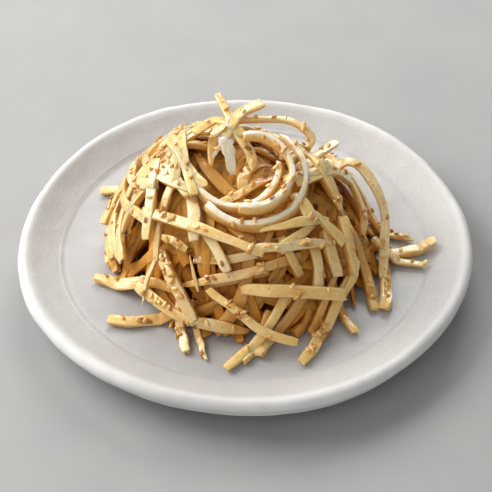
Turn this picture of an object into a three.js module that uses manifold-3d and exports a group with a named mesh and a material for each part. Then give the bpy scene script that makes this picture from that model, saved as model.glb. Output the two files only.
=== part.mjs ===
import * as THREE from 'three';
import { mergeVertices } from 'three/addons/utils/BufferGeometryUtils.js';
import Module from 'manifold-3d';

// A shallow hand-formed stoneware dish with a heap of seasoned, shredded dried filefish and sesame seeds.
// Millimetres, +Z up. The origin is on the table under the middle of the dish, with -Y at its front.

// Dish
const LIP_RADIUS = 87.5;
const LIP_HEIGHT = 16.5;
const LIP_ROUND = 2.9;
const WALL_FOOT_RADIUS = 83.7;
const WALL_FOOT_HEIGHT = 7.4;
const WALL_CREASE_DEPTH = 0.5;
const FLOOR_RADIUS = 70;
const FLOOR_HEIGHT = 10;
const FLOOR_STEP = 0.9;
const FOOT_OUTER_RADIUS = 60;
const FOOT_INNER_RADIUS = 53;
const FOOT_RECESS = 2;
const DISH_SEGMENTS = 64;
const LIP_WAVE_HEIGHT = 0.35;
// The lip was shaped by hand: each row is a wave's count round the lip, its depth and the angle of a crest.
const LIP_WAVES = [
  [2, 0.4, 72],
  [3, 0.4, -34],
  [4, 0.3, 27],
  [5, 0.44, -12],
  [6, 0.28, -4],
];

// Heap
const HEAP_GAP = 0.3;
const HEAP_X = 1;
const HEAP_Y = 1;
const HEAP_RADIUS = 60;
const HEAP_HEIGHT = 42;
const LAYER_DEPTH = 3;
const CORE_SHARE = 0.9;
const CORE_RINGS = 13;
const CORE_SEGMENTS = 36;
// Shoulders of the heap, and the hollow inside its hoops: centre X and Y, radius and extra height.
const SHOULDERS = [
  [-32, 18, 28, 11],
  [3, 22, 26, 8],
  [30, 5, 22, 2],
  [-35, -5, 22, 3],
  [1, -8, 27, -5],
];

// Shreds
const SHRED_THICKNESS_SHARE = 0.64;
const SHRED_SINK = 0.6;
const CORE_SINK = 0.1;
const LOOSE_HEIGHT = 3;
const CROWDED_HEIGHT = 3;
const SHRED_SAG = 0.012;
const SHRED_BEND_STEP = 13;
const SLIVER = 0.2;
const JOIN_VOLUME = 0.4;
const DROP_STEP = 0.4;
const DROP_LIMIT = 4;
const LAY_STEPS = 28;
const COVER_SHREDS = 24;
const SCATTER_TRIES = 6;
const FIELD_HALF = 84;
const FIELD_CELL = 1;

// Sesame seeds
const SEED_LENGTH = 3.2;
const SEED_WIDTH = 2;
const SEED_THICKNESS = 1.3;
const SPREAD_SEEDS = 16;

const wasm = await Module();
wasm.setup();

const radians = THREE.MathUtils.degToRad;
const lerp = THREE.MathUtils.lerp;

// One seeded run of even random numbers from 0 to 1.
let randomState = 20417;
function random() {
  randomState = (Math.imul(randomState, 1664525) + 1013904223) >>> 0;
  return randomState / 4294967296;
}
const between = (low, high) => low + (high - low) * random();

// A closed surface: corners shared, empty triangles dropped and faces pointing out.
function closed(geometry) {
  geometry.deleteAttribute('normal');
  geometry.deleteAttribute('uv');
  const merged = mergeVertices(geometry, 1e-4);
  const corners = merged.index.array;
  const kept = [];
  const a = new THREE.Vector3();
  const b = new THREE.Vector3();
  const c = new THREE.Vector3();
  let volume = 0;
  for (let i = 0; i < corners.length; i += 3) {
    const [p, q, r] = corners.subarray(i, i + 3);
    if (p === q || q === r || r === p) continue;
    kept.push([p, q, r]);
    a.fromBufferAttribute(merged.attributes.position, p);
    b.fromBufferAttribute(merged.attributes.position, q);
    c.fromBufferAttribute(merged.attributes.position, r);
    volume += a.dot(b.cross(c));
  }
  const facing = volume < 0 ? kept.map(([p, q, r]) => [p, r, q]) : kept;
  merged.setIndex(facing.flat());
  return merged;
}

function toSolid(geometry) {
  const shape = closed(geometry);
  return new wasm.Manifold(new wasm.Mesh({
    numProp: 3,
    vertProperties: new Float32Array(shape.attributes.position.array),
    triVerts: new Uint32Array(shape.index.array),
  }));
}

function toGeometry(solid) {
  const mesh = solid.getMesh();
  const geometry = new THREE.BufferGeometry();
  geometry.setAttribute('position', new THREE.BufferAttribute(mesh.vertProperties, 3));
  geometry.setIndex(new THREE.BufferAttribute(mesh.triVerts, 1));
  return geometry;
}

// Moves every corner of a geometry to the place that a function gives for it.
function reshape(geometry, place) {
  const positions = geometry.attributes.position;
  const corner = new THREE.Vector3();
  for (let i = 0; i < positions.count; i += 1) {
    corner.fromBufferAttribute(positions, i);
    const moved = place(corner);
    positions.setXYZ(i, moved.x, moved.y, moved.z);
  }
  return geometry;
}

// Dish: half of its section, from the middle of the underside, round the lip, to the middle of the floor.
const lipCentre = new THREE.Vector2(LIP_RADIUS - LIP_ROUND, LIP_HEIGHT - LIP_ROUND);
function lipPoint(degrees) {
  const angle = radians(degrees);
  return new THREE.Vector2(
    lipCentre.x + LIP_ROUND * Math.cos(angle),
    lipCentre.y + LIP_ROUND * Math.sin(angle),
  );
}
const lipInner = lipPoint(125);
const bandFoot = new THREE.Vector2(FLOOR_RADIUS + 1.2, FLOOR_HEIGHT + FLOOR_STEP);
const bandMiddle = lipInner.clone().lerp(bandFoot, 0.5).add(new THREE.Vector2(0, -0.5));
const dishSection = [
  new THREE.Vector2(0, FOOT_RECESS),
  new THREE.Vector2(FOOT_INNER_RADIUS, FOOT_RECESS),
  new THREE.Vector2(FOOT_INNER_RADIUS + 1, 0),
  new THREE.Vector2(FOOT_OUTER_RADIUS, 0),
  new THREE.Vector2(FOOT_OUTER_RADIUS + 1.5, 2),
  new THREE.Vector2(lerp(FOOT_OUTER_RADIUS, WALL_FOOT_RADIUS, 0.65), 3.8),
  new THREE.Vector2(WALL_FOOT_RADIUS - 1.6, WALL_FOOT_HEIGHT - 1.5),
  new THREE.Vector2(WALL_FOOT_RADIUS, WALL_FOOT_HEIGHT),
  new THREE.Vector2(lerp(WALL_FOOT_RADIUS, LIP_RADIUS, 0.6) - WALL_CREASE_DEPTH, WALL_FOOT_HEIGHT + 2.6),
  lipPoint(-20),
  lipPoint(25),
  lipPoint(60),
  lipPoint(92),
  lipInner,
  bandMiddle,
  bandFoot,
  new THREE.Vector2(FLOOR_RADIUS, FLOOR_HEIGHT + 0.2),
  new THREE.Vector2(FLOOR_RADIUS - 4, FLOOR_HEIGHT),
  new THREE.Vector2(0, FLOOR_HEIGHT),
];

// How far the hand-formed lip stands outside a true circle at a plan angle.
function lipWave(angle) {
  return LIP_WAVES.reduce(
    (sum, [count, depth, crest]) => sum + depth * Math.cos(count * (angle - radians(crest))),
    0,
  );
}

function dishGeometry() {
  const lathe = new THREE.LatheGeometry(dishSection, DISH_SEGMENTS).rotateX(Math.PI / 2);
  reshape(lathe, ({ x, y, z }) => {
    const radius = Math.hypot(x, y);
    const angle = Math.atan2(y, x);
    const share = (radius / LIP_RADIUS) ** 4;
    const grown = radius + lipWave(angle) * share;
    const lift = z > FLOOR_HEIGHT + FLOOR_STEP ? LIP_WAVE_HEIGHT * Math.sin(3 * angle + 0.6) * share : 0;
    return { x: grown * Math.cos(angle), y: grown * Math.sin(angle), z: z + lift };
  });
  lathe.computeBoundingBox();
  const middle = lathe.boundingBox.getCenter(new THREE.Vector3());
  return closed(lathe.translate(-middle.x, -middle.y, 0));
}

// Height of the dish's upper face at a distance from its middle.
function dishTop(radius) {
  if (radius < FLOOR_RADIUS - 1) return FLOOR_HEIGHT + 0.1;
  const rise = (radius - bandFoot.x + 3) / (lipInner.x - bandFoot.x);
  return lerp(bandFoot.y, lipInner.y, THREE.MathUtils.clamp(rise, 0, 1)) + 0.3;
}

// Heap: its outer form above the dish's floor, a broad mound with uneven shoulders and a soft toe.
function moundHeight(x, y) {
  const share = Math.min(Math.hypot(x - HEAP_X, y - HEAP_Y) / HEAP_RADIUS, 1);
  const dome = HEAP_HEIGHT * Math.max(Math.cos((Math.PI / 2) * share ** 1.5), 0) ** 1.3;
  return SHOULDERS.reduce((sum, [lumpX, lumpY, radius, height]) => {
    const reach = Math.min(Math.hypot(x - lumpX, y - lumpY) / radius, 1);
    return sum + height * Math.cos((Math.PI / 2) * reach) ** 2;
  }, dome);
}

function moundNormal(x, y) {
  const step = 2;
  const slopeX = (moundHeight(x + step, y) - moundHeight(x - step, y)) / (2 * step);
  const slopeY = (moundHeight(x, y + step) - moundHeight(x, y - step)) / (2 * step);
  return new THREE.Vector3(-slopeX, -slopeY, 1).normalize();
}

// The point at a height over the core, measured square to the heap's face; the face itself is LAYER_DEPTH up.
function overCore(x, y, height) {
  const face = new THREE.Vector3(x, y, FLOOR_HEIGHT + moundHeight(x, y));
  return face.addScaledVector(moundNormal(x, y), height - LAYER_DEPTH);
}

function clearOfDish(point) {
  const lowest = dishTop(Math.hypot(point.x, point.y)) + HEAP_GAP;
  point.z = Math.max(point.z, lowest);
  return point;
}

function coreSolid() {
  const base = FLOOR_HEIGHT + HEAP_GAP + 0.1;
  const section = [new THREE.Vector2(0, 0), new THREE.Vector2(CORE_SHARE, 0)];
  for (let ring = CORE_RINGS; ring >= 0; ring -= 1) {
    section.push(new THREE.Vector2((CORE_SHARE * ring) / CORE_RINGS, 1));
  }
  const lathe = new THREE.LatheGeometry(section, CORE_SEGMENTS).rotateX(Math.PI / 2);
  reshape(lathe, ({ x, y, z }) => {
    const planX = HEAP_X + x * HEAP_RADIUS;
    const planY = HEAP_Y + y * HEAP_RADIUS;
    const over = overCore(planX, planY, 0);
    over.z = z > 0.5 ? Math.max(over.z, base + 0.8) : base;
    return over;
  });
  return toSolid(lathe);
}

// The field keeps, for each spot of the heap in plan, how high the shreds laid so far reach over the core.
const fieldSize = (2 * FIELD_HALF) / FIELD_CELL;
const field = new Float32Array(fieldSize * fieldSize).fill(-CORE_SINK);
function fieldIndex(x, y) {
  const column = THREE.MathUtils.clamp(Math.round((x + FIELD_HALF) / FIELD_CELL), 0, fieldSize - 1);
  const row = THREE.MathUtils.clamp(Math.round((y + FIELD_HALF) / FIELD_CELL), 0, fieldSize - 1);
  return row * fieldSize + column;
}

// Where many shreds cross they crowd together, so their heights level off.
function crowded(height) {
  if (height < LOOSE_HEIGHT) return height;
  return LOOSE_HEIGHT + CROWDED_HEIGHT * (1 - Math.exp((LOOSE_HEIGHT - height) / CROWDED_HEIGHT));
}

// Lays one shred on what is there. It rests on the highest spots under it and sags a little between them.
// A positive bow bends it to the left of its way from start to end; lifts raise its ends off the heap.
// What comes back makes the shred's solid, let down by a given drop.
function layShred({ from, to, bow = 0, width = 4, lifts = [0, 0], sag = SHRED_SAG }) {
  const along = new THREE.Vector2().subVectors(to, from);
  const length = along.length();
  const left = new THREE.Vector2(-along.y, along.x).divideScalar(length);
  const thickness = width * SHRED_THICKNESS_SHARE;
  const spots = [];
  for (let i = 0; i <= LAY_STEPS; i += 1) {
    const share = i / LAY_STEPS;
    const bulge = 4 * bow * share * (1 - share);
    const spot = from.clone().addScaledVector(along, share).addScaledVector(left, bulge);
    const cells = [-0.4, 0, 0.4].map((offset) =>
      fieldIndex(spot.x + left.x * offset * width, spot.y + left.y * offset * width));
    const under = Math.max(...cells.map((cell) => field[cell]));
    spots.push({ spot, cells, under, share });
  }
  for (const place of spots) {
    const rest = Math.max(...spots.map(({ under, share }) =>
      under - sag * ((share - place.share) * length) ** 2));
    const lift = lifts[0] * (1 - place.share) ** 2 + lifts[1] * place.share ** 2;
    place.height = crowded(rest - SHRED_SINK) + lift;
  }
  for (const { cells, height } of spots) {
    for (const cell of cells) field[cell] = Math.max(field[cell], height + thickness);
  }
  const bends = Math.max(3, Math.round((length + Math.abs(bow)) / SHRED_BEND_STEP));
  return (drop) => {
    const centre = (share) => {
      const at = share * LAY_STEPS;
      const low = Math.min(Math.floor(at), LAY_STEPS - 1);
      const blend = at - low;
      const x = lerp(spots[low].spot.x, spots[low + 1].spot.x, blend);
      const y = lerp(spots[low].spot.y, spots[low + 1].spot.y, blend);
      const height = lerp(spots[low].height, spots[low + 1].height, blend) - drop;
      return { point: overCore(x, y, height + thickness / 2), up: moundNormal(x, y) };
    };
    return shredSolid(centre, width, thickness, bends);
  };
}

// A four-sided strip along a centre line, with slightly narrowed ends.
function shredSolid(centre, width, thickness, bends) {
  const bar = new THREE.BoxGeometry(1, width, thickness, bends, 1, 1);
  reshape(bar, (corner) => {
    const share = corner.x + 0.5;
    const { point, up } = centre(share);
    const ahead = centre(Math.min(share + 0.02, 1)).point;
    const behind = centre(Math.max(share - 0.02, 0)).point;
    const along = ahead.sub(behind).normalize();
    const across = new THREE.Vector3().crossVectors(up, along).normalize();
    const upright = new THREE.Vector3().crossVectors(along, across);
    const narrow = share < 0.01 || share > 0.99 ? 0.8 : 1;
    point.addScaledVector(across, corner.y * narrow).addScaledVector(upright, corner.z * narrow);
    return clearOfDish(point);
  });
  return toSolid(bar);
}

// Shreds seen one by one, lowest layer first. Each row holds the plan places of its start and end, its bow,
// its width and how far its start and end stand up.
const FLOOR_SHREDS = [
  [56, 2, 51, -36, 2, 4.5],
  [73, -3, 50, -8, 0, 4],
  [64, 1, 46, 13, 0, 3.5],
  [69, -12, 49, -10, 0, 3.2],
  [-58, 31, -40, 29, 0, 4],
  [-55, 24, -40, 21, 0, 3.5],
  [-50, -42, -20, -44, 0, 4.2, 2.5, 0],
  [-57, -20, -26, -39, 0, 4.6, 3, 0],
  [-26, -42, -22, -57.5, 0, 3.6],
  [-22, -44, -15, -61, 0, 2.6],
  [23, -42, 4.5, -60, 0, 4.2],
  [9, -48, -1, -62, 0, 3.4],
  [32, -32, 40, -48, 0, 3.4],
  [35, -31, 25.5, -51, 0, 3.5],
  [39.5, -31, 20.5, -63, 0, 3.8],
  [17, -43, -6.5, -65.5, 0, 3.6],
];
const MIDDLE_SHREDS = [
  [-15, -42.5, 8, -39, 0, 3.4],
  [-24, -38, 21, -32, -5, 3.5],
  [-22, -32, 7, -35.5, -1, 3.4],
  [26, -26, 27, -41, 0, 4.2],
  [29.5, -22, 33.5, -33, 0, 5],
  [14, -29, 20, -38, 0, 3.6],
  [41, -24, 36, -37, 0, 3.8],
  [-23, -20, -7, -39, 0, 4.6],
  [10, -20, 8, -34, 0, 3.4],
  [27, -21, 12, -33, 0, 4],
  [18, -11, 25, -22, 0, 4.5],
  [5, -28, 30, -18, 0, 3.5],
  [23, -19, 35, -23, 0, 4],
];
const FRONT_SHREDS = [
  [-40, -31, 1, -53, -5, 4],
  [-34, -25, -20, -50, 0, 4.4],
  [-40, -9, 6, -34, 3, 3.6],
  [6, -34.5, 32, -25, -1, 3.7],
  [-2, -44, 38, -34, -1, 4.3, 0, 3],
  [-13, -42, 18, -53, -3, 3.2, 0, 3],
  [-33, -21, -23, -30, 0, 3.2],
];
const RIGHT_SHREDS = [
  [36, -8, 40.5, -28.5, 1, 3.4],
  [35, 22, 52, 6, 5, 4],
  [24, 4, 46, -34, 8, 4],
  [51, 6, 50.5, -23, 1, 3.3],
  [30, 22, 50, 2, 4, 4],
  [22, 5, 34.5, -7, 1, 4.5],
  [20, 2, 33, 21, 0, 4.5, 0, 5],
];
const LEFT_SHREDS = [
  [-53, 2, -52, -18, -1, 4],
  [-40, 30, -54, -12, -4, 4],
  [-44, 26, -53, 2, -2, 4],
  [-37, 26, -51, -14, -5, 4],
  [-49, 2, -46, -20, -1, 4],
  [-33, 20, -45, -20, -5, 4],
  [-26, -1, -46, -14, -4, 3.8],
  [-33, -13, -37, -26, 0, 4],
  [-33, -22, -41, -29, 0, 3.4],
  [-39, -23, -40, -38, 0, 2],
];
const SHOULDER_SHREDS = [
  [-5, 20, -48, 12, -8, 4.2],
  [-8, 16, -43, 2, -6, 4],
  [-6, 13, -38, 4, -3, 3.8],
  [-4, 18, -19, 25, 0, 4, 0, 4],
  [-28, 6, -41, -5, 0, 3.6],
  [-22, 2, -18, -27, 0, 4.8],
  [-23, -1, -33, -17, 0, 3.6],
  [-21, -8, -5, -30, 0, 4.2],
  [-22, 8, -4, -17.5, 0, 4.6],
  [-10, -18, 14, 0, 2, 3.8],
  [-4, 14, -1, -12, 4, 3.8],
  [1, 2, 12, 8, 0, 4],
];

// Two shreds curl round the top of the heap on edge, like hoops: centre X and Y, radius, the angles of the
// start and end, height at the middle and depth on edge.
const HOOPS = [
  [2.8, -7.3, 19.7, -142, 70, 51, 4.6],
  [0, -8.5, 16.2, -128, 84, 54, 4.2],
];
const HOOP_RISE = 0.33;
const HOOP_THICKNESS = 3;
const HOOP_BENDS = 16;

// Shreds that stand off the back of the top: width, then the places they pass through.
const RAISED_SHREDS = [
  [3.4, [-2, 10, 56], [-6, 20, 62], [-12, 31, 66]],
  [4.8, [-5, 10, 57], [-2, 22, 64], [4.4, 32, 62]],
  [3.6, [-10, 14, 57], [-1, 22, 62], [14, 27, 57.5], [26, 25, 49], [27, 20, 44]],
];

// Seeds that show at the front, in plan; more are spread over the rest of the heap.
const SEED_PLACES = [
  [-32, 8], [-43, 16], [-51, 8], [-40, 2], [-29, -2], [-27, -18], [-28, -27], [-24, -32], [-24, -38],
  [-31, -36], [-42, -34], [-20, -49], [-27, -47], [-3, -48], [-3, -52], [18.5, -45], [19, -50], [27, -50],
  [30, -48], [21, -59], [-1.5, -22], [-13, -38], [3, -35], [21, -33], [-9, 19], [24, 18], [15, 2],
  [4, -3], [38, -11], [44, 0], [55, 3], [26, -24], [46, -29], [51, -29], [57, -12], [-48, -41],
];

const place = (x, y) => new THREE.Vector2(x, y);
function layRows(rows) {
  return rows.map(([fromX, fromY, toX, toY, bow, width, liftStart = 0, liftEnd = 0]) => layShred({
    from: place(fromX, fromY),
    to: place(toX, toY),
    bow,
    width,
    lifts: [liftStart, liftEnd],
  }));
}

// Shreds with no place of their own cover the back, mostly laid round the heap. Each takes the lowest of a
// few random spots, which spreads them evenly.
function lowestSpot() {
  const tries = Array.from({ length: SCATTER_TRIES }, () => {
    const angle = between(-0.1, Math.PI + 0.1);
    const radius = HEAP_RADIUS * between(0.35, 0.86);
    const cell = fieldIndex(HEAP_X + radius * Math.cos(angle), HEAP_Y + radius * Math.sin(angle));
    return { radius, angle, height: field[cell] };
  });
  return tries.sort((a, b) => a.height - b.height)[0];
}
function layCover() {
  const makers = [];
  for (let i = 0; i < COVER_SHREDS; i += 1) {
    const { radius, angle } = lowestSpot();
    const middle = place(HEAP_X + radius * Math.cos(angle), HEAP_Y + radius * Math.sin(angle));
    const half = between(13, 24);
    const turn = angle + Math.PI / 2 + between(-1.1, 1.1);
    const reach = place(half * Math.cos(turn), half * Math.sin(turn));
    makers.push(layShred({
      from: middle.clone().sub(reach),
      to: middle.clone().add(reach),
      bow: -between(1, 7),
      width: between(3.4, 4.6),
      lifts: [between(0, 1.5), between(0, 1.5)],
    }));
  }
  return makers;
}

function layHoop([centreX, centreY, radius, start, end, height, depth]) {
  return (drop) => {
    const centre = (share) => {
      const angle = radians(lerp(start, end, share));
      const x = centreX + radius * Math.cos(angle);
      const y = centreY + radius * Math.sin(angle);
      const z = height + HOOP_RISE * (y - centreY) - depth / 2 - drop;
      return { point: new THREE.Vector3(x, y, z), up: new THREE.Vector3(0, 0, 1) };
    };
    return shredSolid(centre, HOOP_THICKNESS, depth, HOOP_BENDS);
  };
}

function layRaised([width, ...places]) {
  return (drop) => {
    const curve = new THREE.CatmullRomCurve3(places.map(([x, y, z]) => new THREE.Vector3(x, y, z - drop)));
    const centre = (share) => ({ point: curve.getPoint(share), up: new THREE.Vector3(0, 0, 1) });
    return shredSolid(centre, width, width * SHRED_THICKNESS_SHARE, 3 * places.length - 4);
  };
}

// A six-sided sesame seed, lying flat on the shred under it.
function laySeed([x, y]) {
  const up = moundNormal(x, y);
  const turn = new THREE.Quaternion().setFromUnitVectors(new THREE.Vector3(0, 0, 1), up);
  const heading = between(0, Math.PI);
  return (drop) => {
    const seed = new THREE.SphereGeometry(0.5, 6, 3).rotateX(Math.PI / 2);
    seed.scale(SEED_LENGTH, SEED_WIDTH, SEED_THICKNESS);
    seed.rotateZ(heading).applyQuaternion(turn);
    const centre = overCore(x, y, field[fieldIndex(x, y)] + SEED_THICKNESS * 0.2 - drop);
    seed.translate(centre.x, centre.y, centre.z);
    return toSolid(reshape(seed, (corner) => clearOfDish(corner.clone())));
  };
}

function spreadSeeds() {
  const places = [...SEED_PLACES];
  for (let i = 0; i < SPREAD_SEEDS; i += 1) {
    const angle = Math.PI * ((i * 0.618 + 0.1) % 1);
    const radius = HEAP_RADIUS * between(0.3, 0.8);
    places.push([HEAP_X + radius * Math.cos(angle), HEAP_Y + radius * Math.sin(angle)]);
  }
  return places.map(laySeed);
}

// Every piece is let down until it bites into the pile, and one that never does is left out. Of the joined
// pile only the outer body stays, so that no hollow is sealed inside it.
function heapGeometry() {
  const makers = [
    ...layRows(FLOOR_SHREDS),
    ...layRows(MIDDLE_SHREDS),
    ...layRows(FRONT_SHREDS),
    ...layRows(RIGHT_SHREDS),
    ...layRows(LEFT_SHREDS),
    ...layRows(SHOULDER_SHREDS),
    ...layCover(),
    ...HOOPS.map(layHoop),
    ...RAISED_SHREDS.map(layRaised),
    ...spreadSeeds(),
  ];
  let pile = coreSolid();
  for (const make of makers) {
    for (let drop = 0; drop < DROP_LIMIT; drop += DROP_STEP) {
      const piece = make(drop);
      if (pile.intersect(piece).volume() < JOIN_VOLUME) continue;
      pile = pile.add(piece);
      break;
    }
  }
  const bodies = pile.simplify(SLIVER).decompose();
  bodies.sort((a, b) => b.volume() - a.volume());
  return toGeometry(bodies[0]);
}

const stoneware = new THREE.MeshStandardMaterial({ color: 0xdfddd8, roughness: 0.7, metalness: 0 });
const seasonedFish = new THREE.MeshStandardMaterial({ color: 0xd8b47a, roughness: 0.4, metalness: 0 });

const dish = new THREE.Mesh(dishGeometry(), stoneware);
dish.name = 'dish';
const heap = new THREE.Mesh(heapGeometry(), seasonedFish);
heap.name = 'shreds_heap';

const group = new THREE.Group();
group.add(dish, heap);
export default group;
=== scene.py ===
"""A hand-formed stoneware dish with a heap of seasoned, shredded dried filefish and sesame seeds.

Shapes are worked out in millimetres in the frame's axes and turned to metres when a mesh is made.
"""

import math

import bpy
import numpy as np
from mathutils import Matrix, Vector


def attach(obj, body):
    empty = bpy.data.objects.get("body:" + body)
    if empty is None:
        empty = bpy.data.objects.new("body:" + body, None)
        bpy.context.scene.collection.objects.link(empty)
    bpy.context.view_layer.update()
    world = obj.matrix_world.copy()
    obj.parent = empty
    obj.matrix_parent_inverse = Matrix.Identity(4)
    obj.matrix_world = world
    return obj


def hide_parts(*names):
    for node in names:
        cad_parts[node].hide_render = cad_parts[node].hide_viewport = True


MM = 0.001
# In metres, as meshes are.
MERGE_DISTANCE = 0.00001

# Dish
LIP_RADIUS = 87.5
LIP_HEIGHT = 16.5
LIP_ROUND = 2.9
WALL_FOOT_RADIUS = 83.7
WALL_FOOT_HEIGHT = 7.4
WALL_CREASE_DEPTH = 0.7
FLOOR_RADIUS = 70.0
FLOOR_HEIGHT = 10.0
FLOOR_STEP = 0.9
FOOT_OUTER_RADIUS = 60.0
FOOT_INNER_RADIUS = 53.0
FOOT_RECESS = 2.0
DISH_SIDES = 96
# The lip rises and falls in a few waves, turned by an angle in radians.
LIP_WAVE_HEIGHT = 0.35
LIP_WAVE_COUNT = 3
LIP_WAVE_TURN = 0.6
CLAY_LUMP_SIZE = 16.0
CLAY_LUMP_DEPTH = 0.8
# Each row is a wave's count round the lip, its depth in millimetres and the angle of a crest.
LIP_WAVES = [(2, 0.4, 72), (3, 0.4, -34), (4, 0.3, 27), (5, 0.44, -12), (6, 0.28, -4)]

# Heap
HEAP_GAP = 0.3
HEAP_X = 1.0
HEAP_Y = 1.0
HEAP_RADIUS = 60.0
HEAP_HEIGHT = 42.0
LAYER_DEPTH = 4.6
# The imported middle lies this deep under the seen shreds, and ends at a share of the heap's radius.
CORE_DEPTH = 13.0
CORE_SHARE = 0.9
CORE_RINGS = 24
CORE_SIDES = 72
# Shoulders and hollows of the heap: centre X and Y, radius and extra height.
SHOULDERS = [
    (-32, 18, 28, 6),
    (12, 34, 30, -6),
    (22, 20, 24, -12),
    (46, 8, 22, -8),
    (30, 5, 22, 4),
    (-35, -5, 22, 3),
    (1, -8, 27, -5),
]

# Shreds
SHRED_THICKNESS_SHARE = 0.64
SHRED_SINK = 0.6
SHRED_SAG = 0.012
LOOSE_HEIGHT = 3.0
CROWDED_HEIGHT = 2.4
LAY_STEPS = 28
BED_SHREDS = 380
COVER_SHREDS = 44
SCATTER_TRIES = 6
COVER_REACH = 57.0
FIELD_HALF = 84
SHRED_STATION = 1.3
SHRED_SIDES = 12
BED_STATION = 2.2
BED_SIDES = 8
BED_SAG = 0.02
BED_LOOSE_HEIGHT = -4.2
BED_CROWDED_HEIGHT = 2.4
# Lengths along a shred of one soft bend, one nick in its edges and one tear in a flake.
BEND_LENGTH = 13
NICK_LENGTH = 3.2
TEAR_LENGTH = 1.6
# How far from its end a blunt or a pointed shred begins to narrow.
BLUNT_TAPER = 2.0
POINTED_TAPER = 9.0
# The grain's map: the way round a shred for each millimetre of width, and its scale.
GIRTH_SHARE = 3.2
GRAIN_SCALE = 0.1
HOOP_POINTS = 56
RAISED_POINTS = 48
FLAKE_POINTS = 16

# Seeds and crumbs
SEED_LENGTH = 3.0
SEED_WIDTH = 1.8
SEED_THICKNESS = 1.1
SEED_SIZES = (0.8, 1.1)
SCATTERED_SEEDS = 170
SCATTER_CHOICES = 4
CLUSTER_SEEDS = 5
CLUSTER_RADIUS = 4.5
CLUSTER_SPOTS = 14
OPEN_DEPTH = 3.2
CRUMB = (0.9, 0.7, 0.35)
CRUMB_SIZES = (0.35, 0.95)
CRUMBS = 240

# Seeds of the random runs.
BED_RUN = 7411
SEEN_RUN = 20417
FORM_RUN = 515
TOPPING_RUN = 9091

# Shreds seen one by one, lowest layer first. Each row holds the plan places of its start and end, its bow,
# its width and how far its start and end stand up.
FLOOR_SHREDS = [
    (56, 2, 51, -36, 2, 4.5),
    (73, -3, 50, -8, 0, 4),
    (64, 1, 46, 13, 0, 3.5),
    (69, -12, 49, -10, 0, 3.2),
    (-58, 31, -40, 29, 0, 4),
    (-55, 24, -40, 21, 0, 3.5),
    (-50, -42, -20, -44, 0, 4.2, 2.5, 0),
    (-57, -20, -26, -39, 0, 4.6, 3, 0),
    (-26, -42, -22, -57.5, 0, 3.6),
    (-20, -44, -14.4, -61, 0, 2.6),
    (23, -42, 4.5, -60, 0, 4.2),
    (9, -48, -1, -62, 0, 3.4),
    (32, -32, 40, -48, 0, 3.4),
    (35, -31, 25.5, -51, 0, 3.5),
    (39.5, -31, 20.5, -63, 0, 3.8),
    (17, -43, -6.5, -65.5, 0, 3.6),
]
MIDDLE_SHREDS = [
    (-16, -14, 3, -33, 0, 4.2),
    (-20, 9, -1, -13, 0, 4.6),
    (-15, -42.5, 8, -39, 0, 3.4),
    (-24, -38, 21, -32, -5, 3.5),
    (-20, -33.5, 4, -35.5, -1, 3.4),
    (26, -26, 27, -41, 0, 4.2),
    (29.5, -22, 33.5, -33, 0, 5),
    (14, -29, 20, -38, 0, 3.6),
    (41, -24, 36, -37, 0, 3.8),
    (-19, -23, -6.6, -39, 0, 4.4),
    (10, -20, 8, -34, 0, 3.4),
    (27, -21, 12, -33, 0, 4),
    (18, -13, 23.5, -23.5, 0, 4.5),
    (5.6, -29, 29, -19.5, 0, 3.5),
    (23, -19, 35, -23, 0, 4),
]
FRONT_SHREDS = [
    (-40, -31, 1, -53, -5, 4),
    (-32, -25.5, -18.5, -48, 0, 4.4),
    (4, -34, 30.5, -26, -1, 3.7),
    (-1, -44, 34.5, -37, -1.5, 4.3, 0, 2),
    (-13, -42, 18, -53, -3, 3.2, 0, 3),
    (-30.5, -22.5, -22.5, -30, 0, 3.2),
]
RIGHT_SHREDS = [
    (34.5, -15, 39, -30, 0, 3.6),
    (35, 22, 52, 6, 5, 4),
    (24, 4, 47.8, -36.5, 8, 4),
    (30, 22, 50, 2, 4, 4),
    (22, 5, 34.5, -7, 1, 4.5),
]
LEFT_SHREDS = [
    (-53, 2, -52, -18, -1, 4),
    (-40, 30, -54, -12, -4, 4),
    (-44, 26, -53, 2, -2, 4),
    (-37, 26, -51, -14, -5, 4),
    (-49, 2, -46, -20, -1, 4),
    (-33, 20, -45, -20, -5, 4),
    (-26, -1, -46, -14, -4, 3.8),
    (-33, -13, -37, -26, 0, 4),
    (-31, -19, -33, -28, 0, 3),
    (-32, -27, -38.4, -37, 0, 2),
    (-20.5, -32, -18.2, -41.5, 0, 2),
]
SHOULDER_SHREDS = [
    (-5, 20, -48, 12, -8, 4.2),
    (-8, 16, -43, 2, -6, 4),
    (-6, 13, -38, 4, -3, 3.8),
    (-4, 18, -19, 25, 0, 4, 0, 4),
    (-28, 6, -41, -5, 0, 3.6),
    (-21, -3, -17.5, -29, 0, 4.6),
    (-23, -1, -33, -17, 0, 3.6),
    (-10, -18, 14, 0, 2, 3.8),
    (1, 2, 12, 8, 0, 4),
    (-36.5, -11.5, 6, -34.5, -3.4, 3.8, 1, 2),
]
# Three shreds curl round the top on edge, like hoops: centre X and Y, radius, the angles of the start and
# end, height of the upper edge at the centre and depth on edge.
HOOPS = [
    (-3.5, -3.1, 15.8, -170, 8, 53.2, 4.2),
    (2.0, -8.0, 15.0, -106, 100, 56.1, 4.4),
    (2.3, -7.2, 19.7, -146, 58, 52.5, 4.6),
]
HOOP_RISE = 0.33
HOOP_THICKNESS = 2.2
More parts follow.
